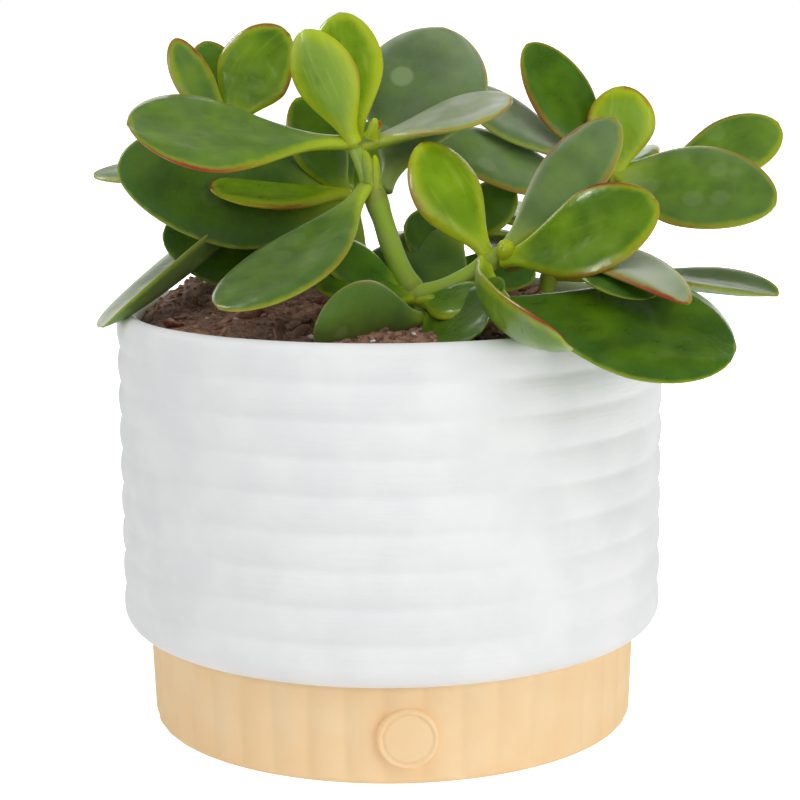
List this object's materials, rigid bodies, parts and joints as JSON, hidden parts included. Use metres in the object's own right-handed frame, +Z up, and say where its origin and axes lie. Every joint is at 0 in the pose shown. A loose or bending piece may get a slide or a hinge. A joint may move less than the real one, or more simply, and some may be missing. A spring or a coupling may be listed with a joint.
{
  "type": "potted jade plant",
  "caption": "Potted jade plant: fleshy-leaved succulent stems in soil, in a ribbed white ceramic pot standing in a fluted tan drip tray.",
  "frame": {"origin": "centre of the tray's flat underside, on the pot's axis", "axes": "+Z up along the pot's axis; the front, with the round blank disc and the low leaves, looks along -Y; +X to the viewer's right"},
  "size_m": [0.1665, 0.1462, 0.1646],
  "materials": {
    "pot_ceramic": "matte",
    "tray_clay": "matte",
    "soil": "matte",
    "leaf": "satin"
  },
  "bodies": {
    "root": {"pot": "pot_ceramic", "base_tray": "tray_clay", "soil": "soil", "front_stem": "leaf", "left_stem": "leaf", "right_stem": "leaf", "back_stem": "leaf"}
  },
  "joints": []
}
